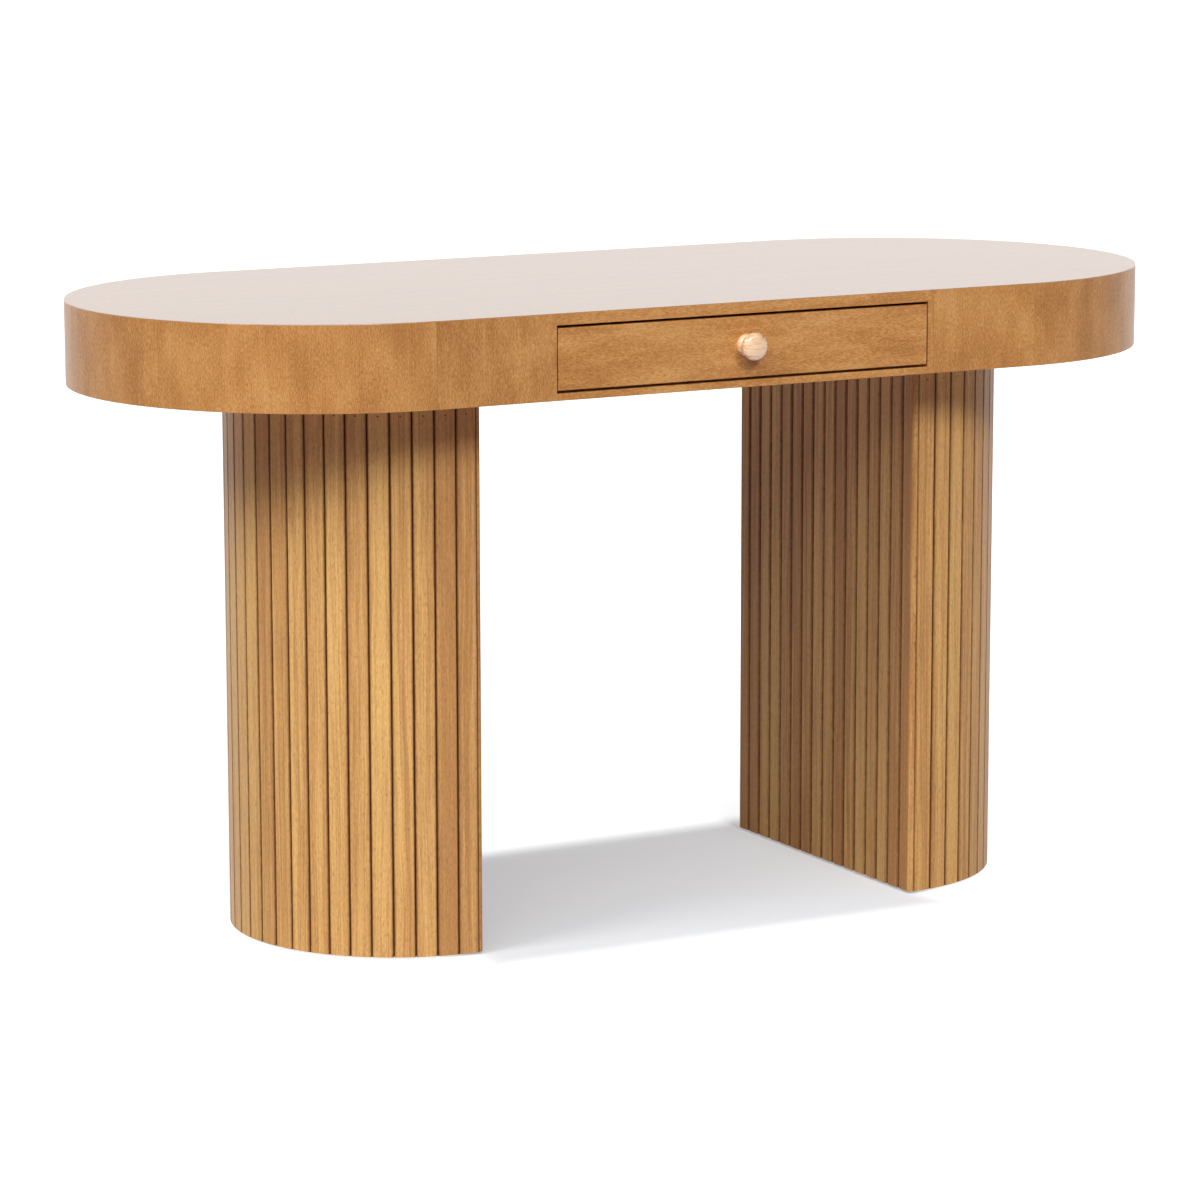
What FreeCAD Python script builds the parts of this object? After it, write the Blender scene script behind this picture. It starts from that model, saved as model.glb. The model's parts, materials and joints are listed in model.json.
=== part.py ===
import FreeCAD, Part
import math
import os

# A console desk: a deep rounded box with one drawer, standing on two slatted legs of
# half-round plan. Millimetres, +X to the sitter's right, -Y to the sitter, +Z up.
# The origin lies on the floor under the middle of the desk and its knob taken together.

Vector = FreeCAD.Vector
UP = Vector(0, 0, 1)

# The whole desk
desk_length = 1397.0
desk_depth = 610.0
desk_height = 762.0
box_height = 100.0

# The rounded box
wall = 15.0                    # bent ends, front frame and back panel
top_thickness = 15.0
face_lip = 1.0                 # face veneer of the top, running out over the walls
top_arris = 0.8
base_thickness = 9.0
rib_thickness = 12.0           # cross ribs that hold up the top over the legs
leg_board_thickness = 22.0
leg_board_margin = 20.0        # how far the boards reach past the legs

# The drawer's opening in the front frame
opening_to_leg = 46.0          # from each side of the opening to the leg's flat side
lower_strip = 9.4
frame_stile = 4.0
runner_board_thickness = 15.0

# The drawer
side_gap = 1.5
edge_gap = 2.2
front_thickness = 18.0
front_arris = 0.9
drawer_depth = 350.0
drawer_board = 12.0
drawer_under_gap = 5.0
drawer_over_gap = 9.6
drawer_bottom_thickness = 4.0
bottom_groove_depth = 5.0
bottom_groove_play = 0.2
bottom_groove_lift = 8.0

# The ball-bearing slides, one each side of the drawer
slide_thickness = 12.5
slide_sheet = 1.2
slide_length = 350.0
slide_setback = 2.0
slide_travel = 260.0
slide_stop_gap = 0.3
ball_radius = 2.0
ball_play = 0.3
ball_height = 14.0             # of each row of balls above or below the slide's middle
ball_from_wall = 6.2
ball_spacing = 24.0
balls_in_row = 4
cage_sheet = 0.6
cage_end = 7.0                 # cage past the last ball
cage_from_wall = 1.65
cage_flange_reach = 8.1
lip_angle = -20.0              # where the outer race ends, in degrees round the ball
race_angle = 215.0             # where the inner race ends

# The knob
knob_reach = 25.0
knob_rise = 2.1                # above the middle of the opening
knob_cap_radius = 16.4
knob_cap_thickness = 8.5
knob_cap_dome = 1.6
knob_cap_round = 2.2
knob_base_radius = 13.6
knob_base_thickness = 3.6
knob_base_round = 1.2
knob_waist_radius = 8.6
knob_shoulder = 1.6

# The legs
leg_inset = 190.0              # from the desk's end to the leg
leg_width = 413.0
slat_thickness = 6.0
slat_bevel = 1.2
slat_gap = 0.4
corner_round = 4.5
curved_slats = 25
flat_slats = 16
panel_thickness = 9.0
shell_thickness = 5.0
post_width = 30.0
post_depth = 26.0
leg_plate_thickness = 18.0
rib_rim = 40.0
rib_corner_round = 12.0
glide_height = 3.0
glide_radius = 11.0
glide_bevel = 0.8
glide_inset = 20.0
glide_angle = 40.0

# Fasteners
fit_clearance = 0.1
bolt_radius = 4.0
bolt_length = 42.0
bolt_head_radius = 6.5
bolt_head_height = 8.0
bolt_key_radius = 3.0
bolt_key_depth = 4.0
bolt_key_sides = 6
washer_radius = 9.0
washer_thickness = 1.6
insert_radius = 6.0
insert_length = 15.0
bolt_hole_radius = 4.5
bolt_row_near = 60.0           # bolts behind the back of the leg's flat panel
bolt_row_far = 120.0
bolt_spread = 80.0             # bolts each side of the leg's middle
knob_screw_radius = 2.0
knob_screw_bite = 12.0
knob_screw_head_radius = 4.0
knob_screw_head_height = 2.4
nail_radius = 1.1
nail_length = 10.0

# Flats on the small round pieces, and steps along the knob's curves
round_sides = 8
knob_sides = 32
cove_steps = 4
dome_steps = 2

rib_height_share = 0.5         # of the leg's middle rib

# Worked out from the sizes above
desk_set_back = knob_reach / 2
half_depth = desk_depth / 2
front_y = -half_depth
end_radius = half_depth
end_centre = desk_length / 2 - end_radius
box_floor = desk_height - box_height
top_under = desk_height - top_thickness
wall_top = desk_height - face_lip
base_top = box_floor + base_thickness
opening_floor = box_floor + lower_strip
leg_radius = leg_width / 2
leg_end = desk_length / 2 - leg_inset
leg_axis = leg_end - leg_radius
half_opening = leg_axis - slat_thickness - opening_to_leg
half_frame = half_opening + frame_stile
inner_front_y = front_y + wall
front_back_y = front_y + front_thickness
drawer_back_y = front_back_y + drawer_depth
drawer_low = opening_floor + drawer_under_gap
drawer_high = top_under - drawer_over_gap
half_drawer = half_opening - slide_thickness
half_inside = half_drawer - drawer_board
bottom_low = drawer_low + bottom_groove_lift
slide_z = (drawer_low + drawer_high) / 2
slide_front_y = front_back_y + slide_setback
slide_back_y = slide_front_y + slide_length
race_radius = ball_radius + ball_play + slide_sheet / 2
knob_z = (opening_floor + top_under) / 2 + knob_rise
slat_back_radius = leg_radius - slat_thickness
shell_inner_radius = slat_back_radius - shell_thickness
panel_back = leg_axis + panel_thickness
rib_x = leg_end + leg_board_margin - rib_thickness
bolt_seat = box_floor - leg_plate_thickness
box_front_back_y = front_back_y + drawer_board
knob_screw_tip_y = front_y - knob_screw_bite

# With the drawer open the cages stand in the middle of the stretch that both slide
# members still share. They run at half the drawer's speed, so at rest they stand half
# the travel behind that.
cage_open_y = slide_front_y + (slide_length - slide_travel) / 2
cage_middle_y = cage_open_y + slide_travel / 2


def block(x_low, x_high, y_low, y_high, z_low, z_high):
    """A rectangular solid between two corners."""
    corner = Vector(x_low, y_low, z_low)
    return Part.makeBox(x_high - x_low, y_high - y_low, z_high - z_low, corner)


def stadium(inset, z_low, z_high):
    """A solid of the desk's plan outline, drawn in by inset all round."""
    radius = end_radius - inset
    left, right = Vector(-end_centre, 0, z_low), Vector(end_centre, 0, z_low)
    across, along = Vector(0, radius, 0), Vector(radius, 0, 0)
    edges = [
        Part.LineSegment(left - across, right - across).toShape(),
        Part.Arc(right - across, right + along, right + across).toShape(),
        Part.LineSegment(right + across, left + across).toShape(),
        Part.Arc(left + across, left - along, left - across).toShape(),
    ]
    return Part.Face(Part.Wire(edges)).extrude(UP * (z_high - z_low))


def half_round(flat_x, radius, z_low, z_high):
    """The right leg's plan: a disc about the leg's axis, cut off flat at flat_x."""
    half_chord = math.sqrt(radius ** 2 - (flat_x - leg_axis) ** 2)
    front, back = Vector(flat_x, -half_chord, z_low), Vector(flat_x, half_chord, z_low)
    edges = [
        Part.Arc(front, Vector(leg_axis + radius, 0, z_low), back).toShape(),
        Part.LineSegment(back, front).toShape(),
    ]
    return Part.Face(Part.Wire(edges)).extrude(UP * (z_high - z_low))


def line(start, end):
    """A straight edge."""
    return Part.LineSegment(start, end).toShape()


def arc_middle(start, corner, end):
    """The middle of the quarter circle that rounds off a square corner."""
    centre = start + end - corner
    return centre + (corner - centre) * math.cos(math.radians(45))


def mirrored(shape):
    """The left-hand twin of a right-hand piece."""
    return shape.mirror(Vector(0, 0, 0), Vector(1, 0, 0))


def edges_at(shape, test):
    """The edges whose middles pass the test."""
    return [edge for edge in shape.Edges if test(edge.CenterOfMass, edge)]


def turned(rings, sides):
    """A turned solid about the Z axis, in flats, through rings of (radius, height)."""
    def corner(radius, height, number):
        turn = math.radians(360 * (number % sides) / sides)
        return Vector(radius * math.cos(turn), radius * math.sin(turn), height)

    loops = [[corner(*rings[0], -number) for number in range(sides)],
             [corner(*rings[-1], number) for number in range(sides)]]
    for low, high in zip(rings, rings[1:]):
        loops += [[corner(*low, number), corner(*low, number + 1),
                   corner(*high, number + 1), corner(*high, number)]
                  for number in range(sides)]
    faces = [Part.Face(Part.makePolygon(loop + loop[:1])) for loop in loops]
    return Part.Solid(Part.Shell(faces))


def aimed(solid, start, direction):
    """Puts a solid that stands on the origin along +Z at start, along direction."""
    solid.Placement = FreeCAD.Placement(start, FreeCAD.Rotation(UP, direction))
    return solid


def rod(radius, start, direction, length, sides=round_sides):
    """A small round piece, or the cutter for its hole."""
    return aimed(turned([(radius, 0), (radius, length)], sides), start, direction)


def save(name, shape):
    """Writes one sub-part, set back so that the desk and its knob stand on the origin."""
    shape = shape.copy()
    shape.translate(Vector(0, desk_set_back, 0))
    shape.exportStep("parts/" + name + ".step")


# The rounded box

def top_panel():
    """Board let in between the walls, under a face veneer that covers their edges."""
    board = stadium(wall, top_under, wall_top)
    veneer = stadium(0, wall_top, desk_height)
    panel = board.fuse(veneer).removeSplitter()
    rim = edges_at(panel, lambda middle, edge: abs(middle.z - desk_height) < top_arris / 2)
    return panel.makeChamfer(top_arris, rim)


def wall_ring():
    """The whole wall of the box, before it is parted."""
    return stadium(0, box_floor, wall_top).cut(stadium(wall, box_floor, wall_top))


def apron_end():
    """The bent right end, round from the front frame to the back panel."""
    reach = desk_length / 2
    return wall_ring().common(
        block(half_frame, reach, -half_depth, half_depth, box_floor, wall_top))


def front_frame():
    """The front board with the drawer's opening cut out of it."""
    board = block(-half_frame, half_frame, front_y, inner_front_y, box_floor, wall_top)
    opening = block(-half_opening, half_opening, front_y, inner_front_y,
                    opening_floor, top_under)
    return board.cut(opening)


def back_panel():
    """The straight board between the bent ends at the back."""
    return block(-half_frame, half_frame, -inner_front_y, half_depth, box_floor, wall_top)


def bolt_places():
    """Where the right leg's bolts stand, seen from above."""
    return [Vector(panel_back + row, side * bolt_spread, 0)
            for row in (bolt_row_near, bolt_row_far) for side in (-1, 1)]


def bolt_holes(radius, z_low, z_high):
    """Cutters for the right leg's bolts."""
    return [rod(radius, place + UP * z_low, UP, z_high - z_low) for place in bolt_places()]


def base_panel():
    """The board that closes the box from below, bored for the legs' bolts."""
    right_holes = bolt_holes(bolt_hole_radius, box_floor, base_top)
    return stadium(wall, box_floor, base_top).cut(
        right_holes + [mirrored(cutter) for cutter in right_holes])


def inner_board(x_low, x_high, z_low, z_high):
    """A board across the inside of the box, cut to the shape of its walls."""
    return stadium(wall, z_low, z_high).common(
        block(x_low, x_high, -half_depth, half_depth, z_low, z_high))


def leg_board():
    """The right board on the base panel that the leg is bolted to."""
    board = inner_board(half_opening + runner_board_thickness,
                        leg_end + leg_board_margin, base_top, base_top + leg_board_thickness)
    sockets = bolt_holes(insert_radius + fit_clearance, base_top, base_top + insert_length)
    ways = bolt_holes(bolt_hole_radius, base_top, base_top + leg_board_thickness)
    return board.cut(sockets + ways)


def cross_rib():
    """The right rib between the leg board and the top."""
    return inner_board(rib_x, rib_x + rib_thickness, base_top + leg_board_thickness, top_under)


def runner_board():
    """The right board beside the drawer, which carries its slide."""
    return block(half_opening, half_opening + runner_board_thickness,
                 inner_front_y, -inner_front_y, base_top, top_under)


# The slides

def section_point(from_wall, height):
    """A point of the right slide's section, measured in from the runner board."""
    return Vector(half_opening - from_wall, slide_front_y, slide_z + height)


def race_point(angle, side):
    """A point on the middle of the sheet where it bends round a row of balls."""
    turn = math.radians(angle)
    return section_point(ball_from_wall + race_radius * math.cos(turn),
                         side * (ball_height + race_radius * math.sin(turn)))


def sheet_member(path, length):
    """A length of rolled sheet along Y, from the middle line of its section."""
    section = Part.Wire(path).makeOffset2D(slide_sheet / 2, 0, True, False)
    return section.extrude(Vector(0, length, 0))


def cabinet_member():
    """The right slide's outer member: its flanges close over both rows of balls."""
    web, top = slide_sheet / 2, ball_height + race_radius
    upper_lip = Part.Arc(race_point(lip_angle, 1), race_point(lip_angle / 2 + 45, 1),
                         race_point(90, 1)).toShape()
    lower_lip = Part.Arc(race_point(90, -1), race_point(lip_angle / 2 + 45, -1),
                         race_point(lip_angle, -1)).toShape()
    path = [
        upper_lip,
        line(race_point(90, 1), section_point(web, top)),
        line(section_point(web, top), section_point(web, -top)),
        line(section_point(web, -top), race_point(90, -1)),
        lower_lip,
    ]
    member = sheet_member(path, slide_length + slide_stop_gap)
    stop_high = ball_height - race_radius
    stop_reach = ball_from_wall + race_radius
    stop = block(half_opening - stop_reach, half_opening,
                 slide_back_y + slide_stop_gap, slide_back_y + slide_stop_gap + slide_sheet,
                 slide_z - stop_high, slide_z + stop_high)
    return member.fuse(stop).removeSplitter()


def drawer_member():
    """The right slide's inner member: its edges run under and over the balls."""
    web, flange = slide_thickness - slide_sheet / 2, ball_height - race_radius
    upper_race = Part.Arc(race_point(race_angle, 1), race_point(race_angle / 2 + 135, 1),
                          race_point(270, 1)).toShape()
    lower_race = Part.Arc(race_point(270, -1), race_point(race_angle / 2 + 135, -1),
                          race_point(race_angle, -1)).toShape()
    path = [
        upper_race,
        line(race_point(270, 1), section_point(web, flange)),
        line(section_point(web, flange), section_point(web, -flange)),
        line(section_point(web, -flange), race_point(270, -1)),
        lower_race,
    ]
    return sheet_member(path, slide_length)


def ball_rows():
    """The distance of each ball along Y from the middle of its row."""
    return [ball_spacing * (number - (balls_in_row - 1) / 2) for number in range(balls_in_row)]


def ball_centre(along, side):
    return Vector(half_opening - ball_from_wall, cage_middle_y + along,
                  slide_z + side * ball_height)


def ball(centre):
    """One ball, its flats as wide from pole to pole as round it."""
    turns = [math.radians(180 * number / round_sides)
             for number in range(1 - round_sides // 2, round_sides // 2, 2)]
    rings = [(ball_radius * math.cos(turn), ball_radius * math.sin(turn)) for turn in turns]
    return aimed(turned(rings, round_sides), centre, UP)


def slide_balls():
    """Both rows of the right slide's balls."""
    return Part.makeCompound([ball(ball_centre(along, side))
                              for side in (-1, 1) for along in ball_rows()])


def ball_cage():
    """The right slide's cage: a thin channel whose flanges hold the balls."""
    half = ball_rows()[-1] + cage_end
    near = half_opening - cage_from_wall
    far = half_opening - cage_flange_reach
    top = ball_height + cage_sheet / 2
    y_low, y_high = cage_middle_y - half, cage_middle_y + half
    channel = block(far, near, y_low, y_high, slide_z - top, slide_z + top)
    hollow = block(far, near - cage_sheet, y_low, y_high,
                   slide_z - top + cage_sheet, slide_z + top - cage_sheet)
    seats = [rod(ball_radius + ball_play, ball_centre(along, side) - UP * ball_radius,
                 UP, 2 * ball_radius)
             for side in (-1, 1) for along in ball_rows()]
    return channel.cut([hollow] + seats)


# The drawer

def knob_screw_line(radius, y_low, y_high):
    """A cylinder on the knob's axis."""
    return rod(radius, Vector(0, y_low, knob_z), Vector(0, 1, 0), y_high - y_low)


def drawer_front():
    """The front that shows, flush in its opening."""
    board = block(-half_opening + side_gap, half_opening - side_gap, front_y, front_back_y,
                  opening_floor + edge_gap, top_under - edge_gap)
    rim = edges_at(board, lambda middle, edge: abs(middle.y - front_y) < front_arris / 2)
    board = board.makeChamfer(front_arris, rim)
    return board.cut(knob_screw_line(knob_screw_radius + fit_clearance, front_y, front_back_y))


def bottom_groove():
    """A cutter for the groove that runs round the inside of the drawer box."""
    reach = half_inside + bottom_groove_depth
    return block(-reach, reach, box_front_back_y - bottom_groove_depth,
                 drawer_back_y - drawer_board + bottom_groove_depth,
                 bottom_low, bottom_low + drawer_bottom_thickness + bottom_groove_play)


def box_front():
    """The front of the drawer box, behind the one that shows."""
    board = block(-half_inside, half_inside, front_back_y, box_front_back_y,
                  drawer_low, drawer_high)
    way = knob_screw_line(knob_screw_radius + fit_clearance, front_back_y, box_front_back_y)
    return board.cut([bottom_groove(), way])


def box_back():
    """The back of the drawer box."""
    board = block(-half_inside, half_inside, drawer_back_y - drawer_board, drawer_back_y,
                  drawer_low, drawer_high)
    return board.cut(bottom_groove())


def drawer_side():
    """The right side of the drawer box."""
    board = block(half_inside, half_drawer, front_back_y, drawer_back_y,
                  drawer_low, drawer_high)
    return board.cut(bottom_groove())


def drawer_bottom():
    """The thin panel in the grooves."""
    reach = half_inside + bottom_groove_depth - bottom_groove_play
    return block(-reach, reach,
                 box_front_back_y - bottom_groove_depth + bottom_groove_play,
                 drawer_back_y - drawer_board + bottom_groove_depth - bottom_groove_play,
                 bottom_low, bottom_low + drawer_bottom_thickness)


def knob():
    """The turned knob: a base disc, a waist and a wide cap with a slightly domed face."""
    cap_back = knob_reach - knob_cap_thickness
    cap_rim = knob_reach - knob_cap_dome
    neck_radius = knob_base_radius - knob_base_round - knob_shoulder
    face_radius = knob_cap_radius - knob_cap_round

    def rounded(start, corner, end):
        middle = arc_middle(Vector(*start), Vector(*corner), Vector(*end))
        return [start, (middle.x, middle.y), end]

    rings = [(knob_base_radius, 0)]
    rings += rounded((knob_base_radius, knob_base_thickness - knob_base_round),
                     (knob_base_radius, knob_base_thickness),
                     (knob_base_radius - knob_base_round, knob_base_thickness))
    for number in range(cove_steps + 1):
        way = 2 * number / cove_steps - 1      # from -1 at the base to 1 at the cap
        widest = neck_radius if way < 0 else face_radius
        rings.append((knob_waist_radius + (widest - knob_waist_radius) * way ** 2,
                      (knob_base_thickness * (1 - way) + cap_back * (1 + way)) / 2))
    rings += rounded((face_radius, cap_back), (knob_cap_radius, cap_back),
                     (knob_cap_radius, cap_back + knob_cap_round))[1:]
    rings += rounded((knob_cap_radius, cap_rim - knob_cap_round),
                     (knob_cap_radius, cap_rim), (face_radius, cap_rim))
    for number in range(1, dome_steps + 1):
        way = 1 - number / (dome_steps + 1)    # from 1 at the rim to 0 at the middle
        rings.append((face_radius * way, knob_reach - knob_cap_dome * way ** 2))
    rings[-1] = (rings[-1][0], knob_reach)
    whole = aimed(turned(rings, knob_sides), Vector(0, front_y, knob_z), Vector(0, -1, 0))
    return whole.cut(knob_screw_line(knob_screw_radius + fit_clearance,
                                     knob_screw_tip_y, front_y))


def knob_screw():
    """The machine screw through both fronts into the knob."""
    shank = knob_screw_line(knob_screw_radius, knob_screw_tip_y, box_front_back_y)
    head = knob_screw_line(knob_screw_head_radius, box_front_back_y,
                           box_front_back_y + knob_screw_head_height)
    return shank.fuse(head)


# The right leg

def leg_top_plate():
    """The board at the leg's head, bored for its bolts."""
    plate = half_round(panel_back, shell_inner_radius, bolt_seat, box_floor)
    return plate.cut(bolt_holes(bolt_hole_radius, bolt_seat, box_floor))


def leg_rib(z_low):
    """A frame across the leg, with a way through it for a hand."""
    z_high = z_low + leg_plate_thickness
    way = half_round(panel_back + rib_rim, shell_inner_radius - rib_rim, z_low, z_high)
    upright = edges_at(way, lambda middle, edge: edge.Length < 2 * leg_plate_thickness
                       and abs(middle.z - (z_low + z_high) / 2) < leg_plate_thickness / 4)
    way = way.makeFillet(rib_corner_round, upright)
    return half_round(panel_back, shell_inner_radius, z_low, z_high).cut(way)


def glide_places():
    """Where the right leg's four glides stand, under the rim of its lowest rib."""
    rim_radius = shell_inner_radius - glide_inset
    turn = math.radians(glide_angle)
    flat_x = panel_back + glide_inset
    flat_y = math.sqrt((rim_radius - glide_inset) ** 2 - (flat_x - leg_axis) ** 2)
    round_x = leg_axis + rim_radius * math.cos(turn)
    round_y = rim_radius * math.sin(turn)
    return [Vector(x, side * y, 0) for x, y in ((flat_x, flat_y), (round_x, round_y))
            for side in (-1, 1)]


def leg_foot_rib():
    """The lowest rib, bored for the glides' nails."""
    nails = [rod(nail_radius, place + UP * glide_height, UP, nail_length)
             for place in glide_places()]
    return leg_rib(glide_height).cut(nails)


def leg_middle_rib():
    """The rib halfway up, notched round the corner posts."""
    z_low = glide_height + (bolt_seat - glide_height) * rib_height_share
    return leg_rib(z_low).cut(leg_posts())


def leg_panel():
    """The flat board behind the straight row of slats, its edges rounded to the sheet."""
    whole = half_round(leg_axis, slat_back_radius, glide_height, box_floor)
    return whole.common(block(leg_axis, panel_back, -slat_back_radius, slat_back_radius,
                              glide_height, box_floor))


def leg_shell():
    """The bent sheet behind the curved row of slats."""
    outer = half_round(panel_back, slat_back_radius, glide_height, box_floor)
    return outer.cut(half_round(panel_back, shell_inner_radius, glide_height, box_floor))


def leg_posts():
    """The two posts that join the panel to the bent sheet, shaped to its curve."""
    z_low = glide_height + leg_plate_thickness
    inside = half_round(panel_back, shell_inner_radius, z_low, bolt_seat)
    reach = math.sqrt(shell_inner_radius ** 2 - panel_thickness ** 2)
    corners = [
        block(panel_back, panel_back + post_width, -reach, -reach + post_depth,
              z_low, bolt_seat),
        block(panel_back, panel_back + post_width, reach - post_depth, reach,
              z_low, bolt_seat),
    ]
    return Part.makeCompound([inside.common(corner) for corner in corners])


def slat(width, left_round, right_round):
    """One upright slat on its back: thickness along X, width along Y, edges eased."""
    half, face = width / 2, slat_thickness
    low, high = glide_height, box_floor

    def eased(side, size, is_round):
        start = Vector(face - size, side * half, low)
        end = Vector(face, side * (half - size), low)
        if is_round:
            middle = arc_middle(start, Vector(face, side * half, low), end)
            return start, end, Part.Arc(start, middle, end).toShape()
        return start, end, line(start, end)

    right_size = corner_round if right_round else slat_bevel
    left_size = corner_round if left_round else slat_bevel
    right_start, right_end, right_edge = eased(1, right_size, right_round)
    left_start, left_end, left_edge = eased(-1, left_size, left_round)
    back_right, back_left = Vector(0, half, low), Vector(0, -half, low)
    outline = Part.Wire([
        line(back_left, back_right),
        line(back_right, right_start),
        right_edge,
        line(right_end, left_end),
        left_edge,
        line(left_start, back_left),
    ])
    return Part.Face(outline).extrude(UP * (high - low))


def round_row():
    """The slats round the curved side, each flat on its back and touching the sheet."""
    step = 180.0 / curved_slats
    width = 2 * slat_back_radius * math.tan(math.radians(step / 2)) - slat_gap
    slats = []
    for number in range(curved_slats):
        angle = -90 + step * (number + 0.5)
        one = slat(width, False, False)
        one.translate(Vector(slat_back_radius, 0, 0))
        one.rotate(Vector(0, 0, 0), UP, angle)
        one.translate(Vector(leg_axis, 0, 0))
        slats.append(one)
    return Part.makeCompound(slats)


def flat_row():
    """The slats of the flat side, the outermost two rounded on their outer edges."""
    pitch = leg_width / flat_slats
    slats = []
    for number in range(flat_slats):
        one = slat(pitch - slat_gap, number == flat_slats - 1, number == 0)
        one.rotate(Vector(0, 0, 0), UP, 180)
        one.translate(Vector(leg_axis, -leg_radius + pitch * (number + 0.5), 0))
        slats.append(one)
    return Part.makeCompound(slats)


def glides():
    """The right leg's glides, each a bevelled disc with a nail."""
    discs = []
    for place in glide_places():
        disc = rod(glide_radius, place, UP, glide_height)
        rim = edges_at(disc, lambda middle, edge: middle.z < glide_height / 4)
        disc = disc.makeChamfer(glide_bevel, rim)
        discs.append(disc.fuse(rod(nail_radius, place + UP * glide_height, UP, nail_length)))
    return discs


# The bolts of the right leg

def leg_bolts():
    """Socket-head bolts, driven from inside the leg."""
    bolts = []
    seat = bolt_seat - washer_thickness
    for place in bolt_places():
        low = place + UP * (seat - bolt_head_height)
        head = rod(bolt_head_radius, low, UP, bolt_head_height)
        key = rod(bolt_key_radius, low, UP, bolt_key_depth, bolt_key_sides)
        bolts.append(head.fuse(rod(bolt_radius, place + UP * seat, UP, bolt_length)).cut(key))
    return bolts


def sleeves(radius, z_low, length):
    """A bored round piece on each bolt of the right leg."""
    return [rod(radius, place + UP * z_low, UP, length)
            .cut(rod(bolt_radius + fit_clearance, place + UP * z_low, UP, length))
            for place in bolt_places()]


def leg_washers():
    """The washers under the bolts' heads."""
    return sleeves(washer_radius, bolt_seat - washer_thickness, washer_thickness)


def leg_inserts():
    """The threaded inserts in the leg board."""
    return sleeves(insert_radius, base_top, insert_length)


def both(solids):
    """A right-hand group and its left-hand twins."""
    return Part.makeCompound(solids + [mirrored(solid) for solid in solids])


def save_pair(name, shape):
    """Writes a right-hand piece and its left-hand twin."""
    save("right_" + name, shape)
    save("left_" + name, mirrored(shape))


def main():
    os.makedirs("parts", exist_ok=True)
    save("top_panel", top_panel())
    save("front_frame", front_frame())
    save("back_panel", back_panel())
    save("base_panel", base_panel())
    save_pair("apron_end", apron_end())
    save_pair("leg_board", leg_board())
    save_pair("cross_rib", cross_rib())
    save_pair("runner_board", runner_board())

    save_pair("slide_cabinet_member", cabinet_member())
    save_pair("slide_drawer_member", drawer_member())
    save_pair("slide_ball_cage", ball_cage())
    save_pair("slide_balls", slide_balls())

    save("drawer_front", drawer_front())
    save("drawer_box_front", box_front())
    save("drawer_box_back", box_back())
    save_pair("drawer_side", drawer_side())
    save("drawer_bottom", drawer_bottom())
    save("knob", knob())
    save("knob_screw", knob_screw())

    save_pair("leg_top_plate", leg_top_plate())
    save_pair("leg_middle_rib", leg_middle_rib())
    save_pair("leg_foot_rib", leg_foot_rib())
    save_pair("leg_panel", leg_panel())
    save_pair("leg_shell", leg_shell())
    save_pair("leg_posts", leg_posts())
    save_pair("leg_curved_slats", round_row())
    save_pair("leg_flat_slats", flat_row())
    save_pair("leg_glides", Part.makeCompound(glides()))
    save("leg_bolts", both(leg_bolts()))
    save("leg_washers", both(leg_washers()))
    save("leg_inserts", both(leg_inserts()))


main()
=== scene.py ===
import functools
import json
import math
import random

import bmesh
import bpy
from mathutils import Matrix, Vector


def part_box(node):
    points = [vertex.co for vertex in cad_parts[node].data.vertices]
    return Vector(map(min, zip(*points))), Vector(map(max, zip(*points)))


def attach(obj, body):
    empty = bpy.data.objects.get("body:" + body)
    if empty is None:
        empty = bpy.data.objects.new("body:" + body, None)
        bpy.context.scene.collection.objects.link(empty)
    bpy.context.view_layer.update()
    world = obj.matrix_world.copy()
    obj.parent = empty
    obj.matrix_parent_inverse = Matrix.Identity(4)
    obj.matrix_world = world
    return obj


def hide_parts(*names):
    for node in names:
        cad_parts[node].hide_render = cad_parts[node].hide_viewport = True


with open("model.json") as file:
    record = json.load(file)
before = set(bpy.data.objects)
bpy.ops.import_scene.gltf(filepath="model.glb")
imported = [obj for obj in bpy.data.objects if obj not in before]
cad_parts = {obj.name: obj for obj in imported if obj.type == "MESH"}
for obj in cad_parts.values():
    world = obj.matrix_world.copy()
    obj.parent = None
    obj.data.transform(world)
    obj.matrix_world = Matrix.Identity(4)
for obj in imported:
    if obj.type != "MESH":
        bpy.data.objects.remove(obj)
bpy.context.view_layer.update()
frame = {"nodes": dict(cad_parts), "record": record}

bl_info = {
    "name": "Console desk with slatted legs",
    "version": (1, 0, 0),
    "blender": (4, 5, 0),
    "location": "3D View > Sidebar > Desk",
    "description": "Builds the visible pieces and finishes of a console desk round its "
                   "frame",
    "category": "Add Mesh",
}

# The desk stands on z 0 with its drawer towards -Y. Lengths are metres, and a size that
# is easier to read in millimetres is multiplied by MM.
MM = 0.001
CLOSE = 0.01 * MM              # two places this near each other are one
FACING = 0.9                   # a face faces a way when its normal has this share of it

TOP_LOW, TOP_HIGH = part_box("top_panel")
WALL_LOW, WALL_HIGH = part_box("front_frame")
DRAWER_LOW, DRAWER_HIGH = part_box("drawer_front")
FLAT_LOW, FLAT_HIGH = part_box("right_leg_flat_slats")
KNOB_LOW, KNOB_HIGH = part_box("knob")
MEMBER_LOW, MEMBER_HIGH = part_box("right_slide_drawer_member")
CASE_LOW, CASE_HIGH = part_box("drawer_box_front")
SIDE_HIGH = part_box("right_drawer_side")[1]

BACK = (TOP_LOW.y + TOP_HIGH.y) / 2          # the desk's middle, behind the origin
END_RADIUS = (TOP_HIGH.y - TOP_LOW.y) / 2
END_CENTRE = TOP_HIGH.x - END_RADIUS
LEG_AXIS = FLAT_HIGH.x         # the back of the flat slats, and the middle of the curve
LEG_RADIUS = (FLAT_HIGH.y - FLAT_LOW.y) / 2
SIDES = {"right": 1, "left": -1}


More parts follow.
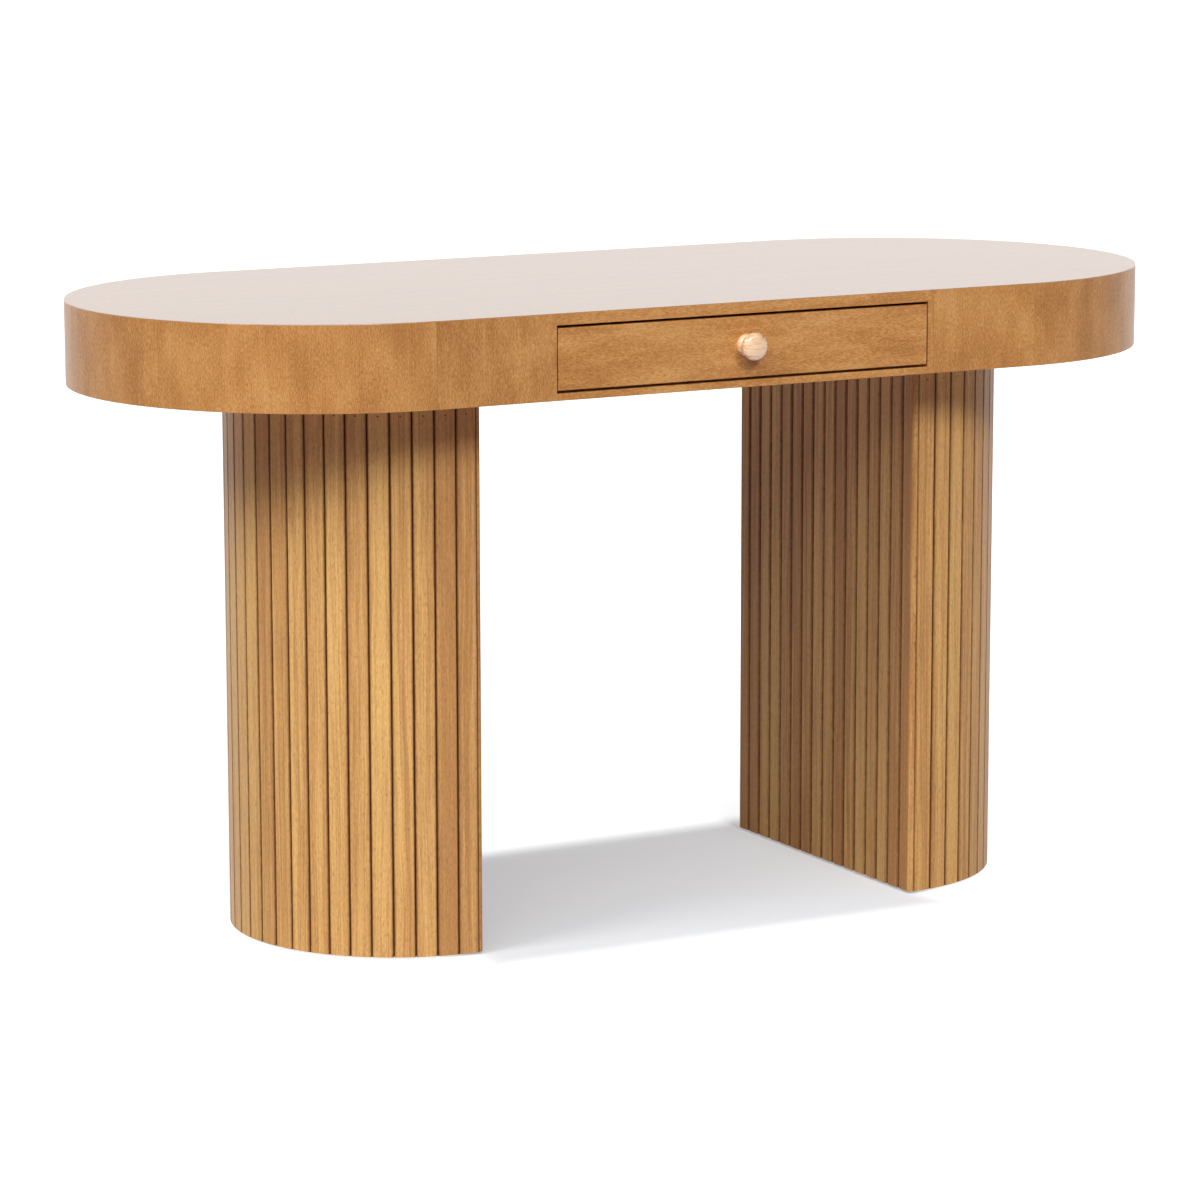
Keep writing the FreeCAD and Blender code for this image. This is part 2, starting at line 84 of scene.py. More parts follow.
def linear(hex_code):
    """A finish's sRGB hex value as the linear colour that the shaders take."""
    shares = [int(hex_code[start:start + 2], 16) / 255 for start in (1, 3, 5)]
    return [share / 12.92 if share <= 0.04045 else ((share + 0.055) / 1.055) ** 2.4
            for share in shares] + [1.0]


# Sizes and colours that a user would change

def length(name, description, default):
    """A size in metres, shown in the scene's own units."""
    return bpy.props.FloatProperty(name=name, description=description, default=default,
                                   min=0.0, unit="LENGTH", precision=4)


def tint(name, description, default):
    """A colour, given as its sRGB hex value."""
    return bpy.props.FloatVectorProperty(name=name, description=description, size=4,
                                         default=linear(default), min=0.0, max=1.0,
                                         subtype="COLOR")


class DeskSizes(bpy.types.PropertyGroup):
    """Sizes of the pieces that the frame doesn't give"""
    top_lip: length("Top veneer", "Thickness of the top's veneer over the walls", 1 * MM)
    top_round: length("Top arris", "Radius of the top's rounded rim", 0.8 * MM)
    apron_round: length("Apron arris", "Radius of the apron's lower outer edge", 0.7 * MM)
    opening_round: length("Opening arris", "Radius of the drawer opening's edges",
                          0.35 * MM)
    drawer_round: length("Drawer arris", "Radius of the drawer front's edges", 0.9 * MM)
    side_gap: length("Side gap", "Gap at each side of the drawer front", 1.5 * MM)
    edge_gap: length("Upper and lower gap", "Gap over and under the drawer front",
                     3.3 * MM)
    slat_gap: length("Slat gap", "Gap between two slats at their backs", 0.4 * MM)
    flat_bevel: length("Flat bevel", "Bevel on the long edges of the flat side's slats",
                       2.8 * MM)
    curved_bevel: length("Curved bevel",
                         "Bevel on the long edges of the curved side's slats", 1.3 * MM)
    slat_arris: length("Slat arris", "Rounding of the bevel's outer edge", 0.4 * MM)
    corner_round: length("Corner slat", "Radius of the outer edge of a corner slat",
                         5.7 * MM)
    # The dark band along the flat slats' sides is partly stain gathered at the grooves
    # and partly painted shade of the groove walls. This size is how far it reaches in.
    stain_and_shade_edge: length("Edge stain", "How far the dark stain reaches in from the sides "
                       "of the flat side's slats", 4.6 * MM)
    nail_depth: length("Nails", "Distance of a slat's pin nail from its top", 22 * MM)
    curved_slats: bpy.props.IntProperty(
        name="Curved slats", description="Slats round a leg's curved side", default=25,
        min=3)
    flat_slats: bpy.props.IntProperty(
        name="Flat slats", description="Slats on a leg's flat side", default=16, min=3)
    screw_radius: length("Screw head", "Radius of the small screws' heads", 3.4 * MM)
    screw_height: length("Screw height", "Height of the small screws' heads", 1.9 * MM)


class DeskColours(bpy.types.PropertyGroup):
    """Colours of the desk's finishes"""
    veneer_deep: tint("Veneer, deep", "Darker tone of the stained veneer", "#AA743C")
    veneer_mid: tint("Veneer, middle", "Main tone of the stained veneer", "#C18749")
    veneer_light: tint("Veneer, light", "Lighter tone of the stained veneer", "#D29D5E")
    slat_rose: tint("Slat, rose", "The pinkest slats and streaks", "#BF8B53")
    slat_tan: tint("Slat, tan", "Most of the slats", "#D09F60")
    slat_honey: tint("Slat, honey", "The yellowest slats and streaks", "#DFB16B")
    # The groove colour is stain that gathers along a slat's sides, darkened further as
    # painted shade of the groove walls.
    groove_stain_and_shade: tint("Groove", "Stain that gathers along a slat's sides", "#613519")
    pore: tint("Pores", "Open pores of the veneer and the slats", "#6E4019")
    backing: tint("Backing", "Dark-stained board behind the slats", "#3A1E0C")
    knob: tint("Knob", "Turned pale wood of the knob", "#F6D0A4")
    knob_grain: tint("Knob grain", "Darker streaks in the knob's wood", "#BC8556")
    birch: tint("Birch", "Unfinished birch boards inside", "#D8BC90")
    birch_grain: tint("Birch grain", "Darker figure in the birch", "#BC9763")
    floor: tint("Floor", "The pale floor", "#D0D4DA")


def sizes():
    """The sizes that the panel shows."""
    return bpy.context.scene.desk_sizes


def colours():
    """The colours that the panel shows."""
    return bpy.context.scene.desk_colours


# Modelling, as by hand

def start_clean():
    """Leaves edit mode and deselects every object."""
    if bpy.context.object is not None and bpy.context.object.mode != "OBJECT":
        bpy.ops.object.mode_set(mode="OBJECT")
    bpy.ops.object.select_all(action="DESELECT")


def only(obj):
    """Makes obj the one selected and active object."""
    start_clean()
    obj.select_set(True)
    bpy.context.view_layer.objects.active = obj


def settle(name):
    """Names the new object and moves its place, turn and size into its mesh."""
    obj = bpy.context.object
    obj.name = obj.data.name = name
    bpy.ops.object.transform_apply(location=True, rotation=True, scale=True)
    return obj


def add_block(name, low, high):
    """A block between two corners, ready to be shaped."""
    start_clean()
    low, high = Vector(low), Vector(high)
    bpy.ops.mesh.primitive_cube_add(size=1, location=(low + high) / 2, scale=high - low)
    return settle(name)


def pick(obj, kind, test):
    """Selects, in edit mode, the faces or edges that pass the test."""
    if bpy.context.object is not obj or obj.mode != "EDIT":
        only(obj)
        bpy.ops.object.mode_set(mode="EDIT")
    bpy.ops.mesh.select_mode(type=kind)
    bpy.ops.mesh.select_all(action="DESELECT")
    mesh = bmesh.from_edit_mesh(obj.data)
    mesh.normal_update()
    parts = mesh.faces if kind == "FACE" else mesh.edges
    found = [part for part in parts if test(part)]
    if not found:
        raise RuntimeError(f"nothing to shape on {obj.name}")
    for part in found:
        part.select_set(True)
    bmesh.update_edit_mesh(obj.data)


def middle(edge):
    """The middle of an edge."""
    return (edge.verts[0].co + edge.verts[1].co) / 2


def same(one, other):
    """True for two places on an axis that are one."""
    return abs(one - other) < CLOSE


def is_corner(edge):
    """True for an edge where two faces meet at a clear angle."""
    return len(edge.link_faces) == 2 and edge.calc_face_angle(0) > math.radians(40)


def round_edges(obj, test, size, segments):
    """Bevels the edges that pass the test."""
    pick(obj, "EDGE", test)
    bpy.ops.mesh.bevel(offset=size, segments=segments, profile=0.5, affect="EDGES")
    bpy.ops.object.mode_set(mode="OBJECT")


def apply_modifier(obj, kind, **settings):
    """Adds a modifier with its settings and applies it."""
    only(obj)
    modifier = obj.modifiers.new(kind.title(), kind)
    for name, value in settings.items():
        setattr(modifier, name, value)
    bpy.ops.object.modifier_apply(modifier=modifier.name)


def remove(*objects):
    """Deletes patterns and cutters that have done their work."""
    for obj in objects:
        only(obj)
        bpy.ops.object.delete()


def cut_out(obj, cutter):
    """Cuts the cutter's shape out of a piece."""
    apply_modifier(obj, "BOOLEAN", operation="DIFFERENCE", solver="EXACT", object=cutter)
    remove(cutter)


def finish_mesh(obj, smooth=30):
    """Merges doubles, turns the faces outwards and smooths the edges that turn by less
    than smooth degrees, with the shading of the large faces kept flat."""
    only(obj)
    if obj.data.has_custom_normals:
        bpy.ops.mesh.customdata_custom_splitnormals_clear()
    while obj.data.uv_layers:
        obj.data.uv_layers.remove(obj.data.uv_layers[0])
    bpy.ops.object.mode_set(mode="EDIT")
    bpy.ops.mesh.select_all(action="SELECT")
    bpy.ops.mesh.remove_doubles(threshold=CLOSE)
    bpy.ops.mesh.normals_make_consistent(inside=False)
    bpy.ops.object.mode_set(mode="OBJECT")
    bpy.ops.object.shade_smooth_by_angle(angle=math.radians(smooth))
    apply_modifier(obj, "WEIGHTED_NORMAL", keep_sharp=True)
    return obj


def copy_of(obj, name):
    """A copy with a mesh of its own, left selected and active."""
    only(obj)
    bpy.ops.object.duplicate(linked=False)
    copy = bpy.context.object
    copy.name = copy.data.name = name
    return copy


def mirrored_twin(obj, name):
    """The left-hand twin of a right-hand piece."""
    copy = copy_of(obj, name)
    bpy.ops.transform.mirror(constraint_axis=(True, False, False),
                             center_override=(0, 0, 0))
    bpy.ops.object.transform_apply(location=True, rotation=True, scale=True)
    return finish_mesh(copy)


def turn(degrees):
    """Turns the selection anticlockwise about the origin, seen from above. Without a
    window this operator turns the other way, and takes its pivot from center_override."""
    bpy.ops.transform.rotate(value=-math.radians(degrees), orient_axis="Z",
                             center_override=(0, 0, 0))


def joined(pieces, name):
    """The pieces as one object."""
    start_clean()
    for piece in pieces:
        piece.select_set(True)
    bpy.context.view_layer.objects.active = pieces[0]
    bpy.ops.object.join()
    return settle(name)


def lay_map(obj, name, place_of):
    """Lays a map over a mesh, in metres: for the wood, along the grain and across it."""
    mesh = obj.data
    layer = mesh.uv_layers.get(name) or mesh.uv_layers.new(name=name)
    for loop, corner in zip(mesh.loops, layer.data):
        corner.uv = place_of(mesh.vertices[loop.vertex_index].co)


def round_the_box(place):
    """How far a point of the walls lies round the box from the middle of its front."""
    side = 1 if place.x >= 0 else -1
    x, y = abs(place.x) - END_CENTRE, place.y - BACK
    if x > 0:
        return side * (END_CENTRE + END_RADIUS * math.atan2(x, -y))
    if y < 0:
        return side * (END_CENTRE + x)
    return side * (END_CENTRE + END_RADIUS * math.pi - x)


# Materials

def add_node(material, kind, inputs=(), stops=(), **settings):
    """Adds a node with its settings. An input is a value, a node or a (node, output)."""
    tree = material.node_tree
    node = tree.nodes.new(kind)
    for name, value in settings.items():
        setattr(node, name, value)
    for socket, value in dict(inputs).items():
        if isinstance(value, bpy.types.Node):
            value = (value, 0)
        if isinstance(value, tuple) and isinstance(value[0], bpy.types.Node):
            tree.links.new(value[0].outputs[value[1]], node.inputs[socket])
        else:
            node.inputs[socket].default_value = value
    for number, (position, shade) in enumerate(stops):
        ramp = node.color_ramp
        stop = ramp.elements[number] if number < 2 else ramp.elements.new(position)
        stop.position, stop.color = position, shade
    return node


def new_material(name):
    """An empty node material."""
    material = bpy.data.materials.get(name) or bpy.data.materials.new(name)
    material.use_nodes = True
    material.node_tree.nodes.clear()
    return material


def finish_material(material, **sockets):
    """Adds the surface shader and the output."""
    shader = add_node(material, "ShaderNodeBsdfPrincipled",
                      {name.replace("_", " "): value for name, value in sockets.items()})
    add_node(material, "ShaderNodeOutputMaterial", {"Surface": shader})
    return material


def grey(value):
    """A grey, or the strength of a pattern, as a colour."""
    return (value, value, value, 1.0)


def spots(material, place, along, across, detail=2.0, roughness=0.5):
    """Spots drawn out along the grain, as a share. Their size is in millimetres."""
    wide = 1 / (across * MM)
    drawn_out = add_node(material, "ShaderNodeMapping",
                         {"Vector": place, "Scale": (1 / (along * MM), wide, wide)})
    return add_node(material, "ShaderNodeTexNoise",
                    {"Vector": drawn_out, "Scale": 1.0, "Detail": detail,
                     "Roughness": roughness})


def wood_colour(material, tones, *patterns):
    """The wood's colour from patterns, each a (node, share). Each pattern's middle is a
    half, and so is their sum's, which looks up its colour among the tones, each a
    (position, colour)."""
    tone = 0.5 - sum(share for pattern, share in patterns) / 2
    for pattern, share in patterns:
        tone = add_node(material, "ShaderNodeMath", {0: pattern, 1: share, 2: tone},
                        operation="MULTIPLY_ADD")
    return add_node(material, "ShaderNodeValToRGB", {"Fac": tone}, tones)


def wandering(material, place, number):
    """The place in the wood, moved a few millimetres so that no streak is ruled, and
    moved far by a number that differs from one slat or leaf of veneer to the next."""
    add = functools.partial(add_node, material)
    reach = 7 * MM
    wander = spots(material, place, 300, 60)
    wander = add("ShaderNodeMath", {0: wander, 1: 2 * reach, 2: -reach},
                 operation="MULTIPLY_ADD")
    shift = add("ShaderNodeCombineXYZ", {"Y": wander, "Z": number})
    return add("ShaderNodeVectorMath", {0: place, 1: shift}, operation="ADD")


def pores_of(material, place):
    """Open pores as a share. They are 0.2 mm wide and 5 mm long, and are drawn 0.8 mm
    by 6 mm so that they show. Only the highest of the spots count."""
    add = functools.partial(add_node, material)
    pores = spots(material, place, 6, 0.8, detail=0.0)
    return add("ShaderNodeValToRGB", {"Fac": pores}, [(0.65, grey(0)), (0.77, grey(1))])


def stained_veneer(name, leaf_width, leaf_start, blotch_size, blotch_share, depth,
                   sheen):
    """Sliced mahogany-type veneer, honey stain, coats of satin lacquer: warm brown with
    soft blotches, fine flecks and dark pores, and a sheen that whitens at a low angle.
    One joint between leaves lies at leaf_start, depth under 1 darkens the colour as
    painted shade, for a face that gets more light than the walls, and sheen is the
    gloss's share, from rubbed down at 0 to polished at 1."""
    material = new_material(name)
    add = functools.partial(add_node, material)
    flat = add("ShaderNodeUVMap", uv_map="grain")
    split = add("ShaderNodeSeparateXYZ", {"Vector": flat})
    # Leaves of veneer lie side by side, and each has its own stretch of figure, up to 7 m
    # away in the patterns.
    count = add("ShaderNodeMath", {0: (split, 1), 1: 1 / leaf_width,
                                   2: -leaf_start / leaf_width}, operation="MULTIPLY_ADD")
    leaf = add("ShaderNodeMath", {0: count}, operation="FLOOR")
    leaf = add("ShaderNodeTexWhiteNoise", {"W": leaf}, noise_dimensions="1D")
    number = add("ShaderNodeMath", {0: leaf, 1: 7.0}, operation="MULTIPLY")
    place = wandering(material, flat, number)
    # The stain takes in soft blotches. Growth rings give streaks about 5 mm apart, and
    # the fibres, 0.05 mm wide, are drawn as flecks 1.4 mm wide, so that they show.
    blotch = spots(material, place, *blotch_size)
    streak = spots(material, place, 160, 5.2, roughness=0.6)
    fleck = spots(material, place, 4.2, 1.4, roughness=0.65)
    tones = [(0.38, list(colours().veneer_deep)), (0.62, list(colours().veneer_light)),
             (0.50, list(colours().veneer_mid))]
    wood = wood_colour(material, tones, (blotch, blotch_share), (streak, 0.12),
                       (fleck, 0.60))
    # Each leaf has its own tone at random. Depth scales it down, as painted shade where
    # it is under 1.
    shade = add("ShaderNodeMapRange", {"Value": leaf, "To Min": 0.96 * depth,
                                       "To Max": 1.03 * depth})
    wood = add("ShaderNodeVectorMath", {0: wood, "Scale": shade}, operation="SCALE")
    pores = pores_of(material, place)
    dark = add("ShaderNodeMath", {0: pores, 1: 0.30}, operation="MULTIPLY")
    # The glued joint between two leaves is a hairline, drawn 0.8 mm wide.
    joint = add("ShaderNodeMath", {0: count, 1: 0.5}, operation="PINGPONG")
    joint = add("ShaderNodeMath", {0: joint, 1: 0.4 * MM / leaf_width},
                operation="LESS_THAN")
    dark = add("ShaderNodeMath", {0: joint, 1: 0.30, 2: dark}, operation="MULTIPLY_ADD")
    wood = add("ShaderNodeMix", {0: dark, 6: wood, 7: list(colours().pore)},
               data_type="RGBA")
    rough = add("ShaderNodeMapRange", {"Value": fleck, "To Min": 0.30, "To Max": 0.42})
    relief = add("ShaderNodeBump",
                 {"Height": pores, "Strength": 0.6, "Distance": 0.05 * MM})
    return finish_material(material, Base_Color=(wood, 2), Roughness=rough, IOR=1.5,
                           Specular_IOR_Level=0.13 + 0.37 * sheen, Normal=relief,
                           Coat_Weight=sheen, Coat_Roughness=0.16, Coat_IOR=1.5)


def stained_slat_wood():
    """Solid slats, planed, stained and satin-lacquered: each has its own tone and long
    streaks, its stain gathers dark and a little ragged in the grooves, darkened further
    there as painted shade of the groove walls, and a pin nail leaves a dark dot near its
    top."""
    material = new_material("stained_slat_wood_satin_lacquer")
    add = functools.partial(add_node, material)
    flat = add("ShaderNodeUVMap", uv_map="grain")
    # Each slat has its own tone, and its own stretch of figure, up to 9 m away.
    own = (add("ShaderNodeAttribute", attribute_name="slat_tone"), 2)
    number = add("ShaderNodeMath", {0: own, 1: 9.0}, operation="MULTIPLY")
    place = wandering(material, flat, number)
    # Bands of growth rings 7 mm wide run the length of a slat. Finer streaks lie 2 mm
    # apart, and the fibres, 0.05 mm wide, are drawn as flecks 1.2 mm wide to show.
    band = spots(material, place, 500, 7.0, detail=1.0)
    streak = spots(material, place, 120, 2.0, roughness=0.6)
    fleck = spots(material, place, 6.0, 1.2, roughness=0.6)
    tones = [(0.28, list(colours().slat_rose)), (0.72, list(colours().slat_honey)),
             (0.50, list(colours().slat_tan))]
    wood = wood_colour(material, tones, (own, 0.46), (band, 0.80), (streak, 0.70))
    figure = add("ShaderNodeMath", {0: streak, 1: 0.5, 2: fleck},
                 operation="MULTIPLY_ADD")
    shade = add("ShaderNodeMapRange", {"Value": figure, "From Min": 0.45,
                                       "From Max": 1.05, "To Min": 0.80, "To Max": 1.18})
    wood = add("ShaderNodeVectorMath", {0: wood, "Scale": shade}, operation="SCALE")
    pores = pores_of(material, place)
    dark = add("ShaderNodeMath", {0: pores, 1: 0.35}, operation="MULTIPLY")
    wood = add("ShaderNodeMix", {0: dark, 6: wood, 7: list(colours().pore)},
               data_type="RGBA")
    # The map "face" gives the distance from a slat's middle line, and from its top. The
    # edge of the dark band at the sides, stain and painted groove shade, wanders to each
    # side.
    face = add("ShaderNodeUVMap", uv_map="face")
    split = add("ShaderNodeSeparateXYZ", {"Vector": face})
    reach = 1.3 * MM
    ragged = spots(material, place, 12, 4, 3.0, 0.7)
    ragged = add("ShaderNodeMath", {0: ragged, 1: 2 * reach, 2: -reach},
                 operation="MULTIPLY_ADD")
    aside = add("ShaderNodeMath", {0: (split, 0)}, operation="ABSOLUTE")
    aside = add("ShaderNodeMath", {0: aside, 1: ragged}, operation="ADD")
    side_line = LEG_RADIUS / sizes().flat_slats
    # Towards each side the colour darkens to the groove colour: partly stain gathered in
    # the groove, partly painted shade of the groove walls.
    stain = add("ShaderNodeMapRange",
                {"Value": aside, "From Min": side_line - sizes().stain_and_shade_edge,
                 "From Max": side_line - 0.3 * MM, "To Max": 0.92})
    # The filled hole of the pin nail is a dot 2 mm across with a soft edge.
    nail = add("ShaderNodeVectorMath",
               {0: face, 1: (0, sizes().nail_depth, 0)}, operation="DISTANCE")
    nail = add("ShaderNodeMapRange", {"Value": (nail, "Value"), "From Min": 1.3 * MM,
                                      "From Max": 0.7 * MM, "To Max": 0.9})
    stain = add("ShaderNodeMath", {0: stain, 1: nail}, operation="MAXIMUM")
    wood = add("ShaderNodeMix", {0: stain, 6: (wood, 2), 7: list(colours().groove_stain_and_shade)},
               data_type="RGBA")
    rough = add("ShaderNodeMapRange", {"Value": fleck, "To Min": 0.34, "To Max": 0.46})
    relief = add("ShaderNodeBump",
                 {"Height": figure, "Strength": 0.6, "Distance": 0.12 * MM})
    return finish_material(material, Base_Color=(wood, 2), Roughness=rough, IOR=1.5,
                           Specular_IOR_Level=0.08, Normal=relief,
                           Coat_Weight=0.03, Coat_Roughness=0.20, Coat_IOR=1.5)


def plain_wood(name, light, dark, lacquer):
    """Pale, close-grained wood such as birch or rubberwood, planed or turned: a soft
    streaky figure without open pores."""
    material = new_material(name)
    add = functools.partial(add_node, material)
    # Growth rings 3 mm apart give the streaks, in clouds 25 mm wide.
    own = (add("ShaderNodeTexCoord"), "Object")
    streak = spots(material, own, 80, 3.0, 3.0, 0.6)
    cloud = spots(material, own, 120, 25)
    wood = wood_colour(material, [(0.38, dark), (0.55, light)], (streak, 0.6),
                       (cloud, 0.4))
    return finish_material(material, Base_Color=wood, Roughness=0.26 if lacquer else 0.62,
                           IOR=1.5, Coat_Weight=0.8 if lacquer else 0.0,
                           Coat_Roughness=0.34)


def zinc_plated_steel():
    """Rolled or turned steel, bright zinc-plated: grey, finely scuffed, half dull."""
    material = new_material("zinc_plated_steel")
    add = functools.partial(add_node, material)
    # The slides run front to back, so their scuffs lie along Y. A scuff is under 0.1 mm
    # wide, and is drawn 1.2 mm wide so that it shows.
    turned = add("ShaderNodeMapping", {"Vector": (add("ShaderNodeTexCoord"), "Object"),
                                       "Rotation": (0, 0, math.radians(90))})
    scuff = spots(material, turned, 40, 1.2)
    rough = add("ShaderNodeMapRange", {"Value": scuff, "To Min": 0.28, "To Max": 0.48})
    return finish_material(material, Base_Color=linear("#BFC2C4"), Metallic=1.0,
                           Roughness=rough)


def make_materials():
    """Every finish of the desk, by the name of its slot."""
    birch = [list(tone) for tone in (colours().birch, colours().birch_grain)]
    knob = [list(tone) for tone in (colours().knob, colours().knob_grain)]
    # Bending plywood under a near-black stain: dull, and dark enough to hide its figure.
    dark = new_material("dark_stained_plywood")
    finish_material(dark, Base_Color=list(colours().backing), Roughness=0.6, IOR=1.5)
    # Chromium bearing steel, ground and polished: a clear mirror.
    balls = new_material("polished_bearing_steel")
    finish_material(balls, Base_Color=linear("#D6D6D6"), Metallic=1.0, Roughness=0.08)
    # Moulded nylon, brown: dull, with a faint waxy gloss.
    nylon = new_material("moulded_brown_nylon")
    finish_material(nylon, Base_Color=linear("#4A3626"), Roughness=0.45, IOR=1.53)
    return {
        # The top's depth of 0.72 is painted shade: the same veneer as the walls, made
        # darker because more light falls on the top.
        "top_veneer": stained_veneer(
            "long_grain_veneer_satin_lacquer", leaf_width=152 * MM, leaf_start=31 * MM,
            blotch_size=(300, 20), blotch_share=0.10, depth=0.72, sheen=1.0),
        "apron_veneer": stained_veneer(
            "upright_grain_veneer_satin_lacquer", leaf_width=330 * MM,
            leaf_start=258 * MM, blotch_size=(70, 34), blotch_share=0.36, depth=1.0,
            sheen=0.06),
        "drawer_veneer": stained_veneer(
            "drawer_veneer_satin_lacquer", leaf_width=400 * MM, leaf_start=-300 * MM,
            blotch_size=(90, 22), blotch_share=0.42, depth=1.0, sheen=0.06),
        "slat_wood": stained_slat_wood(),
        "stained_backing": dark,
        "carcase_wood": plain_wood("unfinished_birch", *birch, lacquer=False),
        "knob_wood": plain_wood("turned_rubberwood_clear_lacquer", *knob, lacquer=True),
        "zinc_steel": zinc_plated_steel(),
        "ball_steel": balls,
        "glide_nylon": nylon,
    }


FINISHES = {}


def finish_of(slot):
    """The finish of a slot. The first piece that asks makes them all."""
    if not FINISHES:
        FINISHES.update(make_materials())
    return FINISHES[slot]


def dress(obj, body, slot, *nodes):
    """Gives a finished piece its body and the finish of its slot, in place of nodes."""
    obj.data.materials.clear()
    obj.data.materials.append(finish_of(slot))
    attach(obj, body)
    if nodes:
        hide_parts(*nodes)


# The rounded box

def half_outline(name, z_low, z_high, x_inner, capped):
    """The right half of the box's outline: a half-round end, drawn on to x_inner."""
    start_clean()
    bpy.ops.mesh.primitive_cylinder_add(
        vertices=160, radius=END_RADIUS, depth=z_high - z_low,
        end_fill_type="NGON" if capped else "NOTHING",
        location=(0, BACK, (z_low + z_high) / 2))
    obj = settle(name)
    bpy.ops.object.mode_set(mode="EDIT")
    bpy.ops.mesh.select_all(action="SELECT")
    bpy.ops.mesh.bisect(plane_co=(0, 0, 0), plane_no=(1, 0, 0), clear_inner=True)
    bpy.ops.mesh.select_all(action="SELECT")
    bpy.ops.transform.translate(value=(END_CENTRE, 0, 0))
    pick(obj, "EDGE", lambda edge: edge.is_boundary
         and all(same(end.co.x, END_CENTRE) for end in edge.verts))
    bpy.ops.mesh.extrude_region_move(
        TRANSFORM_OT_translate={"value": (x_inner - END_CENTRE, 0, 0)})
    bpy.ops.object.mode_set(mode="OBJECT")
    return obj


class BuildTop(bpy.types.Operator):
    """Builds the top: a board let in between the walls, under a veneer with a soft rim"""
    bl_idname = "desk.build_top"
    bl_label = "Top"

    def execute(self, context):
        lip = sizes().top_lip
        top = half_outline("desk_top", TOP_HIGH.z - lip, TOP_HIGH.z, 0, capped=True)
        apply_modifier(top, "MIRROR", merge_threshold=CLOSE)
        pick(top, "FACE", lambda face: face.normal.z < -FACING)
        bpy.ops.mesh.inset(thickness=WALL_HIGH.y - WALL_LOW.y, use_even_offset=True)
        bpy.ops.mesh.extrude_region_move(
            TRANSFORM_OT_translate={"value": (0, 0, TOP_LOW.z + lip - TOP_HIGH.z)})
        round_edges(top, lambda edge: same(middle(edge).z, TOP_HIGH.z)
                    and is_corner(edge), sizes().top_round, 3)
        finish_mesh(top)
        lay_map(top, "grain", lambda place: (place.x, place.y))
        dress(top, "desk", "top_veneer", "top_panel")
        return {"FINISHED"}


def lower_outer_edge(edge):
    """True for the edge between a wall's outer face and its underside."""
    return (same(middle(edge).z, WALL_LOW.z) and is_corner(edge)
            and any(face.normal.z < -FACING for face in edge.link_faces)
            and any(face.normal.dot(outwards(face)) > 0.7 for face in edge.link_faces))


def outwards(face):
    """The direction out of the box at a face of its walls."""
    centre = face.calc_center_median()
    across = Vector((max(abs(centre.x) - END_CENTRE, 0), centre.y - BACK, 0))
    across.x *= 1 if centre.x >= 0 else -1
    return across.normalized()


class BuildApron(bpy.types.Operator):
    """Builds the walls of the box: two bent ends, the front frame and the back panel"""
    bl_idname = "desk.build_apron"
    bl_label = "Apron"

    def execute(self, context):
        self.bent_ends()
        self.front()
        self.back()
        return {"FINISHED"}

    def bent_ends(self):
        wall = WALL_HIGH.y - WALL_LOW.y
        right = half_outline("right_bent_end", WALL_LOW.z, WALL_HIGH.z, WALL_HIGH.x,
                             capped=False)
        bpy.ops.object.mode_set(mode="EDIT")
        bpy.ops.mesh.select_all(action="SELECT")
        bpy.ops.mesh.normals_make_consistent(inside=False)
        mesh = bmesh.from_edit_mesh(right.data)
        mesh.normal_update()
        if sum(face.normal.dot(outwards(face)) for face in mesh.faces) < 0:
            bpy.ops.mesh.flip_normals()
        bpy.ops.object.mode_set(mode="OBJECT")
        apply_modifier(right, "SOLIDIFY", thickness=wall, offset=-1.0,
                       use_even_offset=True)
        round_edges(right, lower_outer_edge, sizes().apron_round, 2)
        finish_mesh(right)
        left = mirrored_twin(right, "left_bent_end")
        for piece, node in ((right, "right_apron_end"), (left, "left_apron_end")):
            lay_map(piece, "grain", lambda place: (place.z, round_the_box(place)))
            dress(piece, "desk", "apron_veneer", node)

    def front(self):
        front = add_block("front_board", WALL_LOW, WALL_HIGH)
        gap = Vector((sizes().side_gap, 20 * MM, sizes().edge_gap))
        low = Vector((DRAWER_LOW.x, WALL_LOW.y, DRAWER_LOW.z)) - gap
        high = Vector((DRAWER_HIGH.x, WALL_HIGH.y, DRAWER_HIGH.z)) + gap
        cut_out(front, add_block("opening_cutter", low, high))
        round_edges(front, lower_outer_edge, sizes().apron_round, 2)
        round_edges(front, lambda edge: same(middle(edge).y, WALL_LOW.y)
                    and low.z - MM < middle(edge).z < high.z + MM
                    and abs(middle(edge).x) < high.x + MM and is_corner(edge),
                    sizes().opening_round, 2)
        finish_mesh(front)
        lay_map(front, "grain", lambda place: (place.x, place.z))
        dress(front, "desk", "drawer_veneer", "front_frame")

    def back(self):
        low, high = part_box("back_panel")
        back = add_block("back_board", low, high)
        round_edges(back, lower_outer_edge, sizes().apron_round, 2)
        finish_mesh(back)
        lay_map(back, "grain", lambda place: (place.z, round_the_box(place)))
        dress(back, "desk", "apron_veneer", "back_panel")


# The drawer

class BuildDrawerFront(bpy.types.Operator):
    """Builds the drawer's front, with its edges softly rounded"""
    bl_idname = "desk.build_drawer_front"
    bl_label = "Drawer front"

    def execute(self, context):
        front = add_block("drawer_face", DRAWER_LOW, DRAWER_HIGH)
        round_edges(front, lambda edge: same(middle(edge).y, DRAWER_LOW.y),
                    sizes().drawer_round, 3)
        finish_mesh(front)
        # Its veneer is another stretch of the leaf than that of the board round it.
        lay_map(front, "grain", lambda place: (place.x + 400 * MM, place.z + 110 * MM))
        dress(front, "drawer", "drawer_veneer", "drawer_front")
        return {"FINISHED"}


